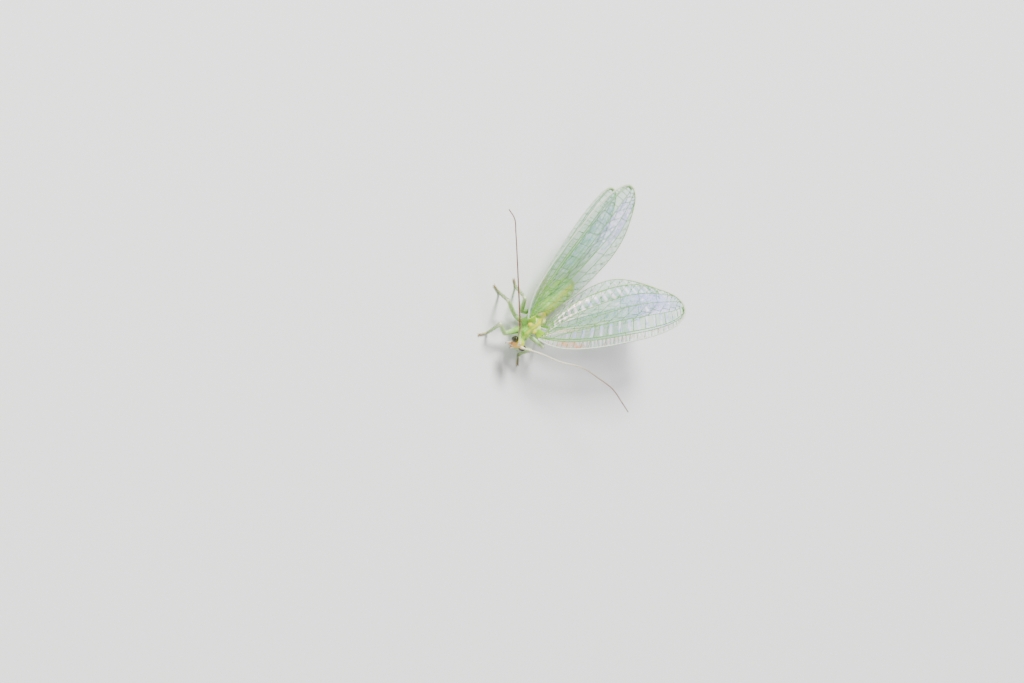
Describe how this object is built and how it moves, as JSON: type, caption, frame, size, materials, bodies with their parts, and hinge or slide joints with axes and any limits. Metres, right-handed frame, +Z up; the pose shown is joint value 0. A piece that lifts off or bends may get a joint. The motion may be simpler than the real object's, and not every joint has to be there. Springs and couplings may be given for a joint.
{
  "type": "green lacewing",
  "caption": "Life-size still model of a green lacewing standing on its legs, with veined wings half spread and long antennae swept out to both sides.",
  "frame": {"origin": "on the floor, under the middle of the whole insect's length and width", "axes": "+Z up, the insect looks along -Y, its left side is +X"},
  "size_m": [0.0203, 0.015, 0.006],
  "materials": {
    "head": "satin",
    "eye": "gloss",
    "feeler": "matte",
    "thorax": "satin",
    "abdomen": "satin",
    "leg": "satin",
    "wing": "gloss"
  },
  "bodies": {
    "root": {"head": "head", "eye_left": "eye", "eye_right": "eye", "antenna_left": "feeler", "antenna_right": "feeler", "prothorax": "thorax", "mesothorax": "thorax", "metathorax": "thorax", "abdomen": "abdomen", "leg_fore_left": "leg", "leg_fore_right": "leg", "leg_mid_left": "leg", "leg_mid_right": "leg", "leg_hind_left": "leg", "leg_hind_right": "leg", "forewing_left": "wing", "forewing_right": "wing", "hindwing_left": "wing", "hindwing_right": "wing"}
  },
  "joints": []
}
